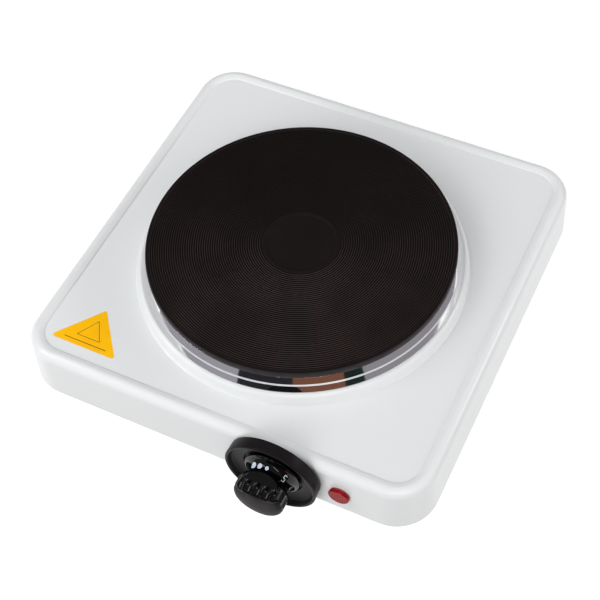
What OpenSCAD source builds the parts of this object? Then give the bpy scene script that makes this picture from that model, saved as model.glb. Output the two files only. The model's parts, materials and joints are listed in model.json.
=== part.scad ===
// Single hot plate burner: white pressed steel housing, cast iron plate in a
// stainless spill ring, and a rotary thermostat behind the front wall.
// Units are millimetres. +Z is up and the front faces -Y.
// The origin is on the table, at the centre of the whole object's outline.

/* [Housing] */
// Width of the housing across its lower edge
body_w = 258.6; // [240:0.2:280]
// Depth of the housing across its lower edge
body_d = 257.6; // [240:0.2:280]
// Height of the wall from its lower edge to the top of the rim
wall_h = 34.6; // [33:0.2:40]
// How far each wall leans in between its lower edge and the rolled edge
wall_lean = 1.4; // [0.5:0.1:2.5]
// Corner radius at the lower edge
corner_r = 25; // [20:1:30]
// Radius of the rolled edge between wall and rim
roll_r = 5; // [3:0.5:6]
// Width from the lower edge to the inner foot of the raised rim
rim_w = 8.8; // [7:0.2:11]
// Depth of the flat panel below the rim
panel_drop = 1.6; // [1.4:0.1:3]
// Thickness of the housing sheet
sheet_t = 1; // [0.8:0.1:1.2]

/* [Collar and plate] */
// Diameter of the cast iron plate
plate_d = 185; // [180:1:190]
// How far the plate's centre is ahead of the housing's centre
plate_forward = 4.9; // [0:0.1:8]
// Height of the plate's face above the flat panel
plate_stand = 21.5; // [19:0.5:24]
// Height of the white collar above the flat panel
collar_h = 8.2; // [7:0.1:10]
// Height of the plate's dark edge band above the spill ring
plate_band = 4; // [3:0.5:5]
// Radius of the smooth recess in the middle of the plate
recess_r = 21.5; // [18:0.5:26]

/* [Knob] */
// Distance of the knob's axis to the right of the housing's centre
knob_x = 42; // [35:0.5:50]
// Height of the knob's axis above the lower edge of the wall
knob_rise = 18; // [17:0.5:20]
// Outer radius of the bezel's front rim
bezel_r = 27.6; // [26:0.2:28]
// Depth of the bezel from wall to front rim
bezel_depth = 8.2; // [7:0.1:10]
// Radius of the knob's flared skirt
skirt_r = 17; // [16:0.5:18]
// Radius of the knob's grip
grip_r = 15.2; // [14:0.1:16]
// Full turn of the knob in degrees
knob_travel = 310; // [270:5:310]

/* [Indicator lamp] */
// Distance of the lens to the right of the housing's centre
lens_x = 81; // [76:0.5:90]
// Height of the lens above the lower edge of the wall
lens_rise = 15.6; // [14:0.2:18]
// Radius of the lens
lens_r = 6.2; // [5:0.1:7]
// How far the lens stands out of the wall
lens_proud = 2.7; // [2:0.1:4]

/* [Base] */
// Height of the feet below the wall's lower edge
foot_h = 12; // [11:0.5:16]
// Radius of each foot at the table
foot_r = 10; // [8:0.5:12]
// Distance of each foot's axis from the housing's centre lines
foot_out = 99; // [90:1:104]
// Thickness of the base plate
base_t = 1; // [0.8:0.1:1.5]
// Distance of the cord gland to the left of the housing's centre
gland_left = 45; // [30:1:70]
// Radius of the gland's bore
gland_bore_r = 3.5; // [3:0.1:4]

/* [Hidden] */

$fn = 96;
arc_steps = 7;
gap = 0.1;

// Heights above the table
wall_z = foot_h;
rim_z = wall_z + wall_h;
panel_z = rim_z - panel_drop;
panel_under = panel_z - sheet_t;
collar_z = panel_z + collar_h;
plate_z = panel_z + plate_stand;
base_top = wall_z;
base_under = base_top - base_t;

// Outline and knob axis
half_w = body_w / 2;
half_d = body_d / 2;
plate_r = plate_d / 2;
knob_z = wall_z + knob_rise;
lens_z = wall_z + lens_rise;
knob_lean = wall_lean * knob_rise / (wall_h - roll_r);
wall_y = -half_d + knob_lean;
inner_y = wall_y + sheet_t;

// Bezel, skirt, waist and dome along the knob's axis, measured forward of bezel_back
bezel_back = -half_d - 0.05;
floor_at = 3.1;
floor_t = 1.6;
skirt_at = floor_at + 0.6;
waist_at = 9.9;
waist_r = 12.8;
grip_at = 15.2;
dome_at = 19.8;
knob_end = 25.4;
knob_hole_r = 6.2;

// The object's outline along Y sets the origin
gland_reach = 9;
front_reach = half_d + 0.05 + knob_end;
rear_reach = half_d + gland_reach;
shift_y = (front_reach - rear_reach) / 2;

// Fixing positions
bezel_screw_x = 11.5;
lip_w = 9;
base_inset = 3;
base_screw_in = 5;
gland_x = -gland_left;
gland_z = wall_z + 15;
shaft_r = 3;
shaft_clear = 0.05;

module placed() {
    translate([0, shift_y, 0]) children();
}

module on_plate(z = 0) {
    translate([0, shift_y - plate_forward, z]) children();
}

// Children are drawn around +Z; +Z becomes the forward direction of the knob's axis
module on_knob(forward = 0) {
    translate([knob_x, shift_y + bezel_back - forward, knob_z]) rotate([90, 0, 0]) children();
}

module ring(r_out, r_in, h) {
    difference() {
        cylinder(r = r_out, h = h);
        translate([0, 0, -1]) cylinder(r = r_in, h = h + 2);
    }
}

module rounded_plate(w, d, r, t) {
    linear_extrude(t) hull_free_rect(w, d, r);
}

// A rectangle with round corners made of exact arcs
module hull_free_rect(w, d, r) {
    square([w - 2 * r, d], center = true);
    square([w, d - 2 * r], center = true);
    for (sx = [-1, 1], sy = [-1, 1])
        translate([sx * (w / 2 - r), sy * (d / 2 - r)]) circle(r = r);
}

function arc(cx, cy, r, from, to) =
    [for (i = [0:arc_steps]) let (a = from + (to - from) * i / arc_steps)
        [cx + r * cos(a), cy + r * sin(a)]];

// ---------------------------------------------------------------- housing

// The rim drops to the panel in a soft step of two arcs
step_r = 1.8;
step_lean = 41.6;
panel_in = rim_w + 2.2;

// Section of the wall, rolled edge and rim. X runs outward from the lower edge.
module wall_section() {
    roll_x = -wall_lean - roll_r;
    step_x = 1.58;
    high_y = wall_h - step_r;
    low_y = wall_h - panel_drop + step_r;
    panel_y = wall_h - panel_drop;
    polygon(concat(
        [[0, 0]],
        arc(roll_x, wall_h - roll_r, roll_r, 0, 90),
        arc(-rim_w + step_x, high_y, step_r, 90, 90 + step_lean),
        arc(-rim_w - step_x, low_y, step_r, 270 + step_lean, 270),
        [[-panel_in - 0.2, panel_y], [-panel_in - 0.2, panel_y - sheet_t]],
        arc(-rim_w - step_x, low_y, step_r + sheet_t, 270, 270 + step_lean),
        arc(-rim_w + step_x, high_y, step_r - sheet_t, 90 + step_lean, 90),
        arc(roll_x, wall_h - roll_r, roll_r - sheet_t, 90, 0),
        [[-sheet_t, sheet_t], [-lip_w, sheet_t], [-lip_w, 0]]));
}

module wall_loop() {
    cx = half_w - corner_r;
    cy = half_d - corner_r;
    for (i = [0:3]) {
        across = i % 2 == 0 ? cx : cy;
        along = i % 2 == 0 ? cy : cx;
        rotate([0, 0, 90 * i]) {
            translate([across, along, 0])
                rotate_extrude(angle = 90) translate([corner_r, 0]) wall_section();
            translate([across + corner_r, along, 0])
                rotate([90, 0, 0]) linear_extrude(2 * along) wall_section();
        }
    }
}

collar_foot_r = 103.4;

// Collar round the plate: a rolled crest, an upright flank and a small foot
module collar() {
    mouth_r = 94.4;
    crest_x = 96.6;
    crest_r = 3.5;
    crest_end = 12;
    foot_fillet = 1.8;
    foot_x = crest_x + crest_r * cos(crest_end) + foot_fillet * cos(crest_end)
        + (collar_h - crest_r * (1 - sin(crest_end)) - foot_fillet * (1 - sin(crest_end)))
        * tan(crest_end);
    rotate_extrude() polygon(concat(
        [[mouth_r, collar_h]],
        arc(crest_x, collar_h - crest_r, crest_r, 90, crest_end),
        arc(foot_x, foot_fillet, foot_fillet, 180 + crest_end, 270),
        [[collar_foot_r, 0], [collar_foot_r, -sheet_t]],
        arc(foot_x, foot_fillet, foot_fillet + sheet_t, 270, 180 + crest_end),
        arc(crest_x, collar_h - crest_r, crest_r - sheet_t, crest_end, 90),
        [[mouth_r, collar_h - sheet_t]]));
}

module top_housing() {
    color("whitesmoke") difference() {
        union() {
            placed() translate([0, 0, wall_z]) wall_loop();
            difference() {
                placed() translate([0, 0, panel_under])
                    rounded_plate(body_w - 2 * panel_in, body_d - 2 * panel_in,
                        corner_r - panel_in, sheet_t);
                on_plate(panel_under - 1) cylinder(r = collar_foot_r - 0.5, h = sheet_t + 2);
            }
            on_plate(panel_z) collar();
        }
        on_knob(-6) cylinder(r = 5.6, h = 12);
        for (s = [-1, 1]) on_knob(-6) translate([s * bezel_screw_x, 0, 0])
            cylinder(r = 2.1, h = 12);
        translate([lens_x, shift_y - half_d + 6, lens_z]) rotate([90, 0, 0])
            cylinder(r = 4.7, h = 12);
        translate([gland_x, shift_y + half_d - 6, gland_z]) rotate([-90, 0, 0])
            cylinder(r = 6.6, h = 12);
        base_screw_spots() translate([0, 0, wall_z - 1]) cylinder(r = 1.3, h = sheet_t + 2);
    }
}

module base_screw_spots() {
    for (i = [0:3]) {
        reach = i % 2 == 0 ? half_w : half_d;
        for (s = [-1, 1]) placed() rotate([0, 0, 90 * i])
            translate([reach - base_screw_in, s * 60, 0]) children();
    }
}

module foot_spots() {
    for (sx = [-1, 1], sy = [-1, 1]) placed()
        translate([sx * foot_out, sy * foot_out, 0]) children();
}

module slot(length, width, h) {
    linear_extrude(h) {
        square([length - width, width], center = true);
        for (s = [-1, 1]) translate([s * (length - width) / 2, 0]) circle(d = width);
    }
}

module base_plate() {
    vent_pitch = 11;
    vent_l = 44;
    vent_w = 4;
    color("silver") difference() {
        placed() translate([0, 0, base_under])
            rounded_plate(body_w - 2 * base_inset, body_d - 2 * base_inset,
                corner_r - base_inset, base_t);
        foot_spots() translate([0, 0, base_under - 1]) cylinder(r = 2.1, h = base_t + 2);
        base_screw_spots() translate([0, 0, base_under - 1]) cylinder(r = 1.7, h = base_t + 2);
        for (side = [-1, 1], i = [-2:2]) placed()
            translate([side * 45, i * vent_pitch, base_under - 1]) slot(vent_l, vent_w, base_t + 2);
        placed() translate([gland_x + 25, half_d - 40, base_under - 1])
            cylinder(r = 1.7, h = base_t + 2);
        placed() translate([gland_x - 30, half_d - 32, base_under - 1])
            cylinder(r = 2.1, h = base_t + 2);
    }
}

// ---------------------------------------------------------------- heating element

disc_under = -7;
band_under = -plate_band;
skirt_out = 88;
skirt_in = 84;
skirt_foot = -16.5;
hub_out = 23;
hub_in = 18;
boss_r = 9;
boss_foot = -18.5;
stud_r = 3;
stud_top = -5.5;

// Heights in this section are measured down from the plate's cooking face
module hot_plate() {
    edge = 0.8;
    recess = 0.7;
    color([0.13, 0.11, 0.11]) on_plate(plate_z) rotate_extrude() polygon([
        [0, -recess], [recess_r - 0.7, -recess], [recess_r, 0], [plate_r - edge, 0],
        [plate_r, -edge], [plate_r, band_under], [skirt_out, band_under],
        [skirt_out, skirt_foot], [skirt_in, skirt_foot], [skirt_in, disc_under],
        [hub_out, disc_under], [hub_out, skirt_foot], [hub_in, skirt_foot],
        [hub_in, -12], [boss_r, -12], [boss_r, boss_foot],
        [stud_r, boss_foot], [stud_r, stud_top], [0, stud_top]]);
}

// Stainless ring tucked under the plate's edge, resting on the collar
module spill_ring() {
    t = 0.7;
    top = band_under - 0.05;
    wall_top_r = plate_r + 0.3;
    wall_foot_r = plate_r + 2.6;
    wall_foot = -9.3;
    edge_r = 96.6;
    edge_z = collar_z - plate_z + 0.1;
    color("gainsboro") on_plate(plate_z) rotate_extrude() polygon([
        [skirt_out + 0.2, top], [wall_top_r - 0.3, top], [wall_top_r, top - 0.3],
        [wall_foot_r, wall_foot], [wall_foot_r + 0.4, wall_foot - 0.4],
        [edge_r, edge_z + t], [edge_r, edge_z], [wall_foot_r + 0.4, edge_z],
        [wall_foot_r - t, wall_foot - 0.4], [wall_top_r - t, top - t],
        [skirt_out + 0.2, top - t]]);
}

coil_pitch = 11;
coil_first = 32;
coil_count = 5;
coil_r = 2.4;
coil_drop = -12.2;
channel_h = coil_drop + coil_r + gap - skirt_foot + 1;

module insulation_fill() {
    color([0.86, 0.83, 0.76]) on_plate(plate_z) difference() {
        translate([0, 0, skirt_foot + 0.4])
            ring(skirt_in - gap, hub_out + gap, disc_under - skirt_foot - 0.5);
        for (i = [0:coil_count - 1]) {
            r = coil_first + i * coil_pitch;
            translate([0, 0, skirt_foot - 1]) ring(r + coil_r + gap, r - coil_r - gap, channel_h);
        }
        for (s = [-1, 0, 1]) translate([s * 9, pin_back, skirt_foot - 1])
            cylinder(r = 1.8, h = 8);
    }
}

module heating_coil() {
    color([0.55, 0.5, 0.46]) on_plate(plate_z + coil_drop)
        for (i = [0:coil_count - 1])
            rotate_extrude() translate([coil_first + i * coil_pitch, 0]) circle(r = coil_r, $fn = 48);
}

pin_back = 48;
cover_z = skirt_foot - 1;
shield_z = -26;

// Thin steel disc that closes the underside of the casting
module element_cover() {
    color("lightgray") on_plate(plate_z) difference() {
        translate([0, 0, cover_z]) cylinder(r = skirt_out - 1, h = 0.8);
        translate([0, 0, cover_z - 1]) cylinder(r = boss_r + 0.4, h = 3);
        translate([-17, pin_back - 7, cover_z - 1]) cube([34, 14, 3]);
    }
}

// Steatite block that carries the element's pins
module element_terminals() {
    block_top = cover_z + 0.7;
    block_h = 10;
    color("ivory") on_plate(plate_z) difference() {
        translate([-16.5, pin_back - 6.5, block_top - block_h]) cube([33, 13, block_h]);
        for (s = [-1, 0, 1]) translate([s * 9, pin_back, block_top - block_h - 1])
            cylinder(r = 1.3, h = block_h + 2);
    }
}

module element_pins() {
    color("silver") on_plate(plate_z) for (s = [-1, 0, 1])
        translate([s * 9, pin_back, -32]) {
            cylinder(r = 1.25, h = 22);
            translate([-0.4, -3.1, -7]) cube([0.8, 6.2, 7]);
        }
}

bridge_top = shield_z;
bridge_t = 2;

module centre_stud() {
    color("silver") on_plate(plate_z) translate([0, 0, bridge_top - 12])
        cylinder(r = stud_r - 0.05, h = stud_top - 0.5 - bridge_top + 12);
}

module stud_spacer() {
    color("silver") on_plate(plate_z) translate([0, 0, shield_z + 0.8])
        ring(6, stud_r + gap, boss_foot - shield_z - 0.8);
}

// Round aluminised tray between the element and the wiring
module heat_shield() {
    tray_r = 93;
    color("lightgray") on_plate(plate_z) difference() {
        union() {
            translate([0, 0, shield_z]) cylinder(r = tray_r, h = 0.8);
            translate([0, 0, shield_z]) ring(tray_r, tray_r - 0.8, 5);
        }
        translate([0, 0, shield_z - 1]) cylinder(r = stud_r + 0.3, h = 3);
        translate([-18, pin_back - 8, shield_z - 1]) cube([36, 16, 3]);
    }
}

// Sprung steel strap that pulls the plate down onto the collar
module clamp_bridge() {
    half_span = 97;
    reach = 114;
    foot_top = panel_under - plate_z;
    color("silver") on_plate(plate_z) difference() {
        translate([0, 12, 0]) rotate([90, 0, 0]) linear_extrude(24) polygon([
            [-half_span, bridge_top - bridge_t], [half_span, bridge_top - bridge_t],
            [half_span + bridge_t, bridge_top - bridge_t + 0.5],
            [half_span + bridge_t, foot_top - bridge_t], [reach, foot_top - bridge_t],
            [reach, foot_top], [half_span, foot_top], [half_span, bridge_top],
            [-half_span, bridge_top], [-half_span, foot_top], [-reach, foot_top],
            [-reach, foot_top - bridge_t], [-half_span - bridge_t, foot_top - bridge_t],
            [-half_span - bridge_t, bridge_top - bridge_t + 0.5]]);
        translate([0, 0, bridge_top - bridge_t - 1]) cylinder(r = stud_r + 0.3, h = bridge_t + 2);
    }
}

module stud_washer() {
    color("silver") on_plate(plate_z) translate([0, 0, bridge_top - bridge_t - 1.6])
        ring(8, stud_r + 0.2, 1.6);
}

module stud_nut() {
    color("silver") on_plate(plate_z) translate([0, 0, bridge_top - bridge_t - 6.7])
        difference() {
            cylinder(r = 5.8, h = 5, $fn = 6);
            translate([0, 0, -1]) cylinder(r = stud_r, h = 7);
        }
}

// ---------------------------------------------------------------- thermostat

// Places along the knob's axis, measured forward of bezel_back, so behind the wall is negative
frame_front = -2.6;
frame_t = 1.5;
frame_back = frame_front - frame_t;
bush_end = -10.5;
collar_front = bush_end - 0.4;
stop_collar_t = 2;
shaft_end = -18.5;
block_front = -20.5;
block_t = 10;
block_back = block_front - block_t;
block_half_w = 13.7;
frame_half_w = 15;
blade_y = block_back - 1.6;
pivot_dx = -10.8;
pivot_r = 0.6;
screw_pitch = 1;
plunger_travel = screw_pitch * knob_travel / 360;
stop_angle = 360 - knob_travel;

// A straight-sided lug between two radii
module wedge(r_in, r_out, angle) {
    polygon([[r_in, 0], [r_out, 0],
        [r_out * cos(angle), r_out * sin(angle)], [r_in * cos(angle), r_in * sin(angle)]]);
}

module sector(r_in, r_out, angle, h) {
    rotate_extrude(angle = angle) translate([r_in, 0]) square([r_out - r_in, h]);
}

module thermostat_frame() {
    arm_l = frame_front - block_back;
    color("silver") difference() {
        union() {
            on_knob(frame_back) translate([-frame_half_w, -11, 0])
                cube([2 * frame_half_w, 22, frame_t]);
            for (s = [-1, 1]) on_knob(block_back)
                translate([s > 0 ? block_half_w : -frame_half_w, -6, 0])
                    cube([frame_half_w - block_half_w, 12, arm_l]);
            on_knob(collar_front - stop_collar_t) rotate([0, 0, -90 - stop_angle / 4 + 1])
                sector(8.2, 9.8, stop_angle / 2 - 2, frame_back - collar_front + stop_collar_t);
        }
        on_knob(frame_back - 1) cylinder(r = 5.05, h = frame_t + 2);
        for (s = [-1, 1]) on_knob(frame_back - 1) translate([s * bezel_screw_x, 0, 0])
            cylinder(r = 1.7, h = frame_t + 2);
    }
}

module thermostat_bushing() {
    color("goldenrod") difference() {
        union() {
            on_knob(bush_end) cylinder(r = 5, h = floor_at - 1.7 - bush_end);
            on_knob(bush_end) cylinder(r = 7, h = frame_back - bush_end);
        }
        on_knob(bush_end - 1) cylinder(r = shaft_r + shaft_clear, h = 30);
    }
}

module thermostat_block() {
    color("ivory") difference() {
        on_knob(block_back) translate([-block_half_w, -9, 0])
            cube([2 * block_half_w, 18, block_t]);
        on_knob(block_back - 1) cylinder(r = 2.05, h = block_t + 2);
    }
}

carrier_depth = 12;

// Brass bracket with two ears and the pin that the blade swings on
module contact_carrier() {
    ear_t = 0.8;
    ear_l = 3;
    plate_in = -block_half_w + 1.5;
    color("goldenrod") {
        on_knob(block_back - carrier_depth)
            translate([-block_half_w, -4, 0]) cube([1.5, 8, carrier_depth]);
        for (low = [-4, 4 - ear_t]) on_knob(blade_y - ear_l / 2)
            translate([plate_in - 0.5, low, 0])
                cube([pivot_dx - plate_in + 0.5 + ear_l / 2, ear_t, ear_l]);
        on_knob(blade_y) translate([pivot_dx, -4 + ear_t / 2, 0]) rotate([-90, 0, 0])
            cylinder(r = pivot_r, h = 8 - ear_t);
    }
}

module bimetal_strip() {
    color("slategray") on_knob(block_back - 9)
        translate([-block_half_w + 1.5, -3, 0]) cube([20, 6, 0.8]);
}

// The blade's tip moves this far when the plunger has made its full travel
button_dx = 12;
button_travel = plunger_travel * (button_dx - pivot_dx) / -pivot_dx;
fixed_front = blade_y - 1 - button_travel - 0.15;

module fixed_contact() {
    color("goldenrod") {
        on_knob(fixed_front - 1.4) translate([9, -3, 0]) cube([4.5, 11, 0.8]);
        on_knob(fixed_front - 1.4) translate([9, 7, 0])
            cube([4.5, 1, block_back - fixed_front + 1.4]);
        on_knob(fixed_front - 0.6) translate([button_dx - 1, 0, 0]) cylinder(r = 1.6, h = 0.6);
    }
}

// Spring leaf with a rolled eye at one end and a contact button at the other
module contact_blade() {
    leaf_t = 0.4;
    eye_r = 1.2;
    color("goldenrod") difference() {
        union() {
            on_knob(blade_y - leaf_t / 2) translate([pivot_dx, -3, 0])
                cube([button_dx - pivot_dx + 1, 6, leaf_t]);
            on_knob(blade_y) translate([pivot_dx, -3, 0]) rotate([-90, 0, 0])
                cylinder(r = eye_r, h = 6);
            on_knob(blade_y - 1) translate([button_dx - 1, 0, 0]) cylinder(r = 1.6, h = 0.8);
        }
        on_knob(blade_y) translate([pivot_dx, -4, 0]) rotate([-90, 0, 0])
            cylinder(r = pivot_r + shaft_clear, h = 8);
    }
}

module plunger() {
    tip = blade_y + 0.25;
    stem_r = 1.5;
    body_front = shaft_end - 0.3;
    color("ivory") {
        on_knob(tip + 2) cylinder(r = 2, h = body_front - tip - 2);
        on_knob(tip + 2) sphere(r = 2);
        on_knob(body_front - 0.5) cylinder(r = stem_r, h = 5.5);
    }
}

flat_at = 1.9;
shaft_front = 17;

module knob_shaft() {
    color("silver") difference() {
        union() {
            on_knob(shaft_end) cylinder(r = shaft_r, h = shaft_front - shaft_end);
            on_knob(collar_front - stop_collar_t) linear_extrude(stop_collar_t) {
                circle(r = 6);
                rotate([0, 0, -90 - 3 * stop_angle / 4 + 2]) wedge(5, 9.4, stop_angle / 2 - 2);
            }
        }
        on_knob(skirt_at - 1) translate([flat_at, -4, 0]) cube([4, 8, 20]);
        on_knob(shaft_end - 1) cylinder(r = 1.55, h = 8);
    }
}

module knob_clip() {
    color("silver") on_knob(6.5) translate([flat_at + 0.05, -2, 0]) cube([0.4, 4, 9]);
}

ramp_slope = 22;
ramp_rise = 13.4;
ramp_from = 11.6;
flute_r = 1.7;
flute_sink = 0.8;
flute_end = 21.4;
ramp_flutes = 5;
ramp_pitch = 4.6;
side_flutes = 20;

// Flared skirt, narrow waist and fluted round grip, with a thumb ramp across the top
module knob() {
    shoulder = 4.2;
    shoulder_end = 60;
    rim_r = grip_r - shoulder * (1 - cos(shoulder_end));
    rim_at = dome_at + shoulder * sin(shoulder_end);
    color([0.1, 0.1, 0.1]) difference() {
        on_knob() rotate_extrude() polygon(concat(
            [[0, skirt_at], [skirt_r, skirt_at]],
            [for (i = [0:10]) let (a = 90 * i / 10)
                [waist_r + (skirt_r - waist_r) * (1 - sin(a)),
                 waist_at - (waist_at - skirt_at - 1) * cos(a)]],
            [for (i = [1:10]) let (a = 180 * i / 10)
                [waist_r + (grip_r - waist_r) * (1 - cos(a)) / 2,
                 waist_at + (grip_at - waist_at) * i / 10]],
            arc(grip_r - shoulder, dome_at, shoulder, 0, shoulder_end),
            [for (i = [1:6]) let (t = 1 - i / 6)
                [rim_r * t, rim_at + (knob_end - rim_at) * (1 - t * t)]]));
        on_knob(skirt_at - 1) difference() {
            cylinder(r = shaft_r + gap, h = shaft_front - skirt_at + 2);
            translate([flat_at + 0.5, -4, -1]) cube([4, 8, 30]);
        }
        on_knob(ramp_from) translate([0, ramp_rise, 0]) rotate([ramp_slope, 0, 0])
            translate([-25, 0, -2]) cube([50, 20, 30]);
        for (i = [0:ramp_flutes - 1]) on_knob(ramp_from) translate([0, ramp_rise, 0])
            rotate([ramp_slope, 0, 0])
                translate([(i - (ramp_flutes - 1) / 2) * ramp_pitch, flute_r - flute_sink, 3])
                    cylinder(r = flute_r, h = flute_end - ramp_from - 3);
        for (i = [3:side_flutes - 3]) on_knob(waist_at + 3)
            rotate([0, 0, 90 + 360 * i / side_flutes])
                translate([grip_r + flute_r - flute_sink, 0, 0])
                    cylinder(r = flute_r, h = flute_end - waist_at - 3.8);
    }
}

module knob_bezel() {
    rear_r = 27.1;
    wall_t = 1.5;
    bowl_r = 23.5;
    hole_r = 18.2;
    crest_r = 0.75;
    color([0.16, 0.15, 0.16]) difference() {
        on_knob() rotate_extrude() polygon(concat(
            [[rear_r, 0]],
            arc(bezel_r - crest_r, bezel_depth - crest_r, crest_r, 0, 170),
            [[bowl_r + 1.2, floor_at + 1.6], [bowl_r, floor_at + 0.7], [hole_r, floor_at],
             [hole_r - 0.2, 1.6], [knob_hole_r, 1.6], [knob_hole_r, 0], [21, 0],
             [23, 1.2], [rear_r - wall_t, 1.2], [rear_r - wall_t, 0]]));
        for (s = [-1, 1]) on_knob(-1) translate([s * bezel_screw_x, 0, 0])
            cylinder(r = 2.1, h = 6);
    }
}

module bezel_screws() {
    color("silver") for (s = [-1, 1]) {
        on_knob(frame_back - 1.5) translate([s * bezel_screw_x, 0, 0])
            cylinder(r = 1.65, h = 1.65 - frame_back + 1.5);
        on_knob(1.65) translate([s * bezel_screw_x, 0, 0]) cylinder(r = 3, h = 1.5);
    }
}

// ---------------------------------------------------------------- indicator lamp

module at_lamp(forward = 0) {
    lean_here = wall_lean * lens_rise / (wall_h - roll_r);
    translate([lens_x, shift_y - half_d + lean_here - forward, lens_z])
        rotate([90, 0, 0]) children();
}

module indicator_lens() {
    seat = 0.55;
    rib_w = 0.9;
    color("red") difference() {
        at_lamp(seat) rotate_extrude() polygon(concat(
            [[0, 0], [lens_r, 0]],
            arc(lens_r - 1.2, lens_proud - seat - 1.5, 1.2, 0, 60),
            [[0, lens_proud - seat]]));
        for (i = [-2:2]) at_lamp(lens_proud - 0.3)
            translate([i * 2.1 - rib_w / 2, -8, 0]) cube([rib_w, 16, 2]);
    }
}

module indicator_body() {
    color("dimgray") difference() {
        at_lamp(-14) cylinder(r = 4.4, h = 14.5);
        at_lamp(-13) cylinder(r = 3.4, h = 16);
    }
}

module neon_bulb() {
    color("orange") {
        at_lamp(-12) cylinder(r = 2.4, h = 9);
        at_lamp(-3) sphere(r = 2.4);
    }
}

module indicator_clip() {
    color("silver") at_lamp(-5.2) ring(8, 4.5, 0.8);
}

// ---------------------------------------------------------------- supply side

block_x = gland_x + 25;
block_y = half_d - 40;

module at_block(z = 0) {
    translate([block_x, shift_y + block_y, base_top + z]) children();
}

module supply_terminals() {
    color("ivory") at_block(gap) difference() {
        translate([-18, -9, 0]) cube([36, 18, 14]);
        cylinder(r = 1.8, h = 40, center = true);
        for (s = [-1, 1]) {
            translate([s * 11, -10, 5]) rotate([-90, 0, 0]) cylinder(r = 2.2, h = 20);
            translate([s * 11, 0, 6]) cylinder(r = 2.3, h = 20);
        }
        translate([0, 0, 9]) cylinder(r = 4, h = 10);
    }
}

module terminal_screws() {
    color("goldenrod") for (s = [-1, 1]) at_block(gap + 7.5) translate([s * 11, 0, 0]) difference() {
        cylinder(r = 2.2, h = 5);
        translate([-3, -0.4, 4]) cube([6, 0.8, 2]);
    }
}

module block_screw() {
    color("silver") at_block() {
        translate([0, 0, -base_t - 1.6]) cylinder(r = 3.2, h = 1.6);
        translate([0, 0, -base_t - 0.1]) cylinder(r = 1.6, h = 12);
    }
}

module earth_screw() {
    color("goldenrod") translate([gland_x - 30, shift_y + half_d - 32, base_top]) {
        translate([0, 0, -base_t - 2]) cylinder(r = 3.8, h = 2);
        translate([0, 0, -base_t - 0.1]) cylinder(r = 2, h = 14);
        translate([0, 0, gap]) cylinder(r = 3.9, h = 3, $fn = 6);
    }
}

module at_gland(out = 0) {
    translate([gland_x, shift_y + half_d + out, gland_z]) rotate([-90, 0, 0]) children();
}

// Nylon bush with an outer flange, through the rear wall
module cord_gland() {
    color([0.1, 0.1, 0.1]) difference() {
        union() {
            at_gland(-14) cylinder(r = 6.5, h = 14);
            at_gland() rotate_extrude() polygon(concat(
                [[0, 0], [10, 0], [10, 1.8]],
                arc(7.4, 2.6, 1, 80, 20),
                [[6.2, gland_reach - 0.8], [5.4, gland_reach], [0, gland_reach]]));
        }
        at_gland(-15) cylinder(r = gland_bore_r, h = gland_reach + 17);
    }
}

module gland_nut() {
    color([0.15, 0.15, 0.15]) at_gland(-7.2) difference() {
        cylinder(r = 9.5, h = 4.5, $fn = 6);
        translate([0, 0, -1]) cylinder(r = 6.55, h = 7);
    }
}

// ---------------------------------------------------------------- base fixings

module foot() {
    color([0.12, 0.12, 0.12]) difference() {
        rotate_extrude() polygon([[0, 0], [foot_r - 1, 0], [foot_r, 1],
            [foot_r - 1.2, base_under], [0, base_under]]);
        translate([0, 0, -1]) cylinder(r = 2.1, h = foot_h + 2);
        translate([0, 0, -1]) cylinder(r = 5, h = 5);
    }
}

module foot_at(sx, sy) {
    placed() translate([sx * foot_out, sy * foot_out, 0]) foot();
}

module foot_front_left() { foot_at(-1, -1); }
module foot_front_right() { foot_at(1, -1); }
module foot_rear_left() { foot_at(-1, 1); }
module foot_rear_right() { foot_at(1, 1); }

module foot_screws() {
    color("silver") foot_spots() {
        translate([0, 0, 1.6]) cylinder(r = 3.9, h = 2.4);
        translate([0, 0, 3]) cylinder(r = 2, h = base_top + 2);
    }
}

module foot_nuts() {
    color("silver") foot_spots() translate([0, 0, base_top]) difference() {
        cylinder(r = 4, h = 3, $fn = 6);
        translate([0, 0, -1]) cylinder(r = 2.05, h = 5);
    }
}

module base_screws() {
    color("silver") base_screw_spots() {
        translate([0, 0, base_under - 1.8]) cylinder(r = 2.9, h = 1.8);
        translate([0, 0, base_under - 0.2]) cylinder(r = 1.25, h = 6);
    }
}

// ---------------------------------------------------------------- wiring

function unit(v) = v / norm(v);
function tangent(p, i) = unit(p[min(i + 1, len(p) - 1)] - p[max(i - 1, 0)]);
function mix4(a, b, c, d, t) = 0.5 * (2 * b + (c - a) * t + (2 * a - 5 * b + 4 * c - d) * t * t
    + (3 * b - a - 3 * c + d) * t * t * t);
function at(p, i) = p[max(0, min(len(p) - 1, i))];
// A smooth curve through the route's points
function smooth(p, n) = [for (i = [0:len(p) - 2]) for (k = [0:n - 1])
    mix4(at(p, i - 1), p[i], p[i + 1], at(p, i + 2), k / n), p[len(p) - 1]];

// A closed tube along a route, with eight sides
module wire(route, r) {
    sides = 8;
    path = smooth(route, 4);
    rings = len(path);
    side_of = function(t) let (s = cross(t, abs(t[2]) > 0.9 ? [1, 0, 0] : [0, 0, 1])) unit(s);
    pts = [for (i = [0:rings - 1]) let (t = tangent(path, i), u = side_of(t), v = cross(t, u))
        for (k = [0:sides - 1]) let (a = 360 * k / sides) path[i] + r * (cos(a) * u + sin(a) * v)];
    walls = [for (i = [0:rings - 2]) for (k = [0:sides - 1]) let (n = (k + 1) % sides)
        [i * sides + k, i * sides + n, (i + 1) * sides + n, (i + 1) * sides + k]];
    caps = [[for (k = [sides - 1:-1:0]) k], [for (k = [0:sides - 1]) (rings - 1) * sides + k]];
    translate([0, shift_y, 0]) polyhedron(pts, concat(walls, caps), convexity = 6);
}

wire_r = 1.2;
pins_y = pin_back - plate_forward;

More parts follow.
